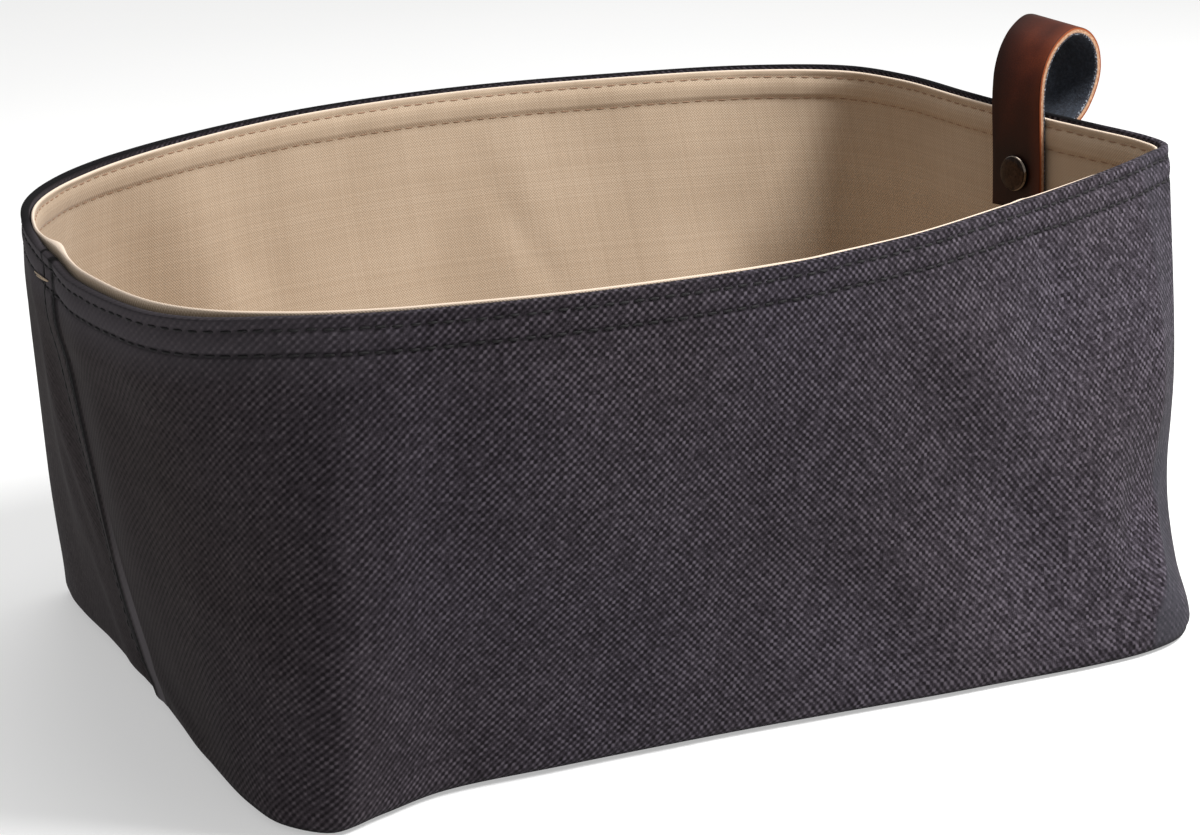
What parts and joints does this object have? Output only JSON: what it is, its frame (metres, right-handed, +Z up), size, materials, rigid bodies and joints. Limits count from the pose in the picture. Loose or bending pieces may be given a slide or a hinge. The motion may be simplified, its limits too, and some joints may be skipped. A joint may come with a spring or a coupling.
{
  "type": "reusable fabric storage bag with leather loop",
  "caption": "Standing open cloth bag with boxed bottom, cotton lining, stitched hem and a riveted leather hanging loop at one end.",
  "frame": {"origin": "on the resting surface, under the middle of the bag's bottom", "axes": "+X along the bag towards the end with the leather loop, +Y towards the rear wall, +Z up"},
  "size_m": [0.3665, 0.2465, 0.1745],
  "materials": {
    "twill_cloth": "matte charcoal twill",
    "cotton_lining": "matte natural cotton",
    "brown_leather": "smooth dark reddish brown leather with tan cut edges and a dark suede back",
    "dark_metal": "dark bronzed rivet",
    "thread": "dark sewing thread",
    "lining_thread": "brown sewing thread"
  },
  "bodies": {
    "root": {"outer_cloth": "twill_cloth", "lining": "cotton_lining", "leather_loop": "brown_leather", "rivet_post": "dark_metal", "rivet_cap": "dark_metal"}
  },
  "joints": []
}
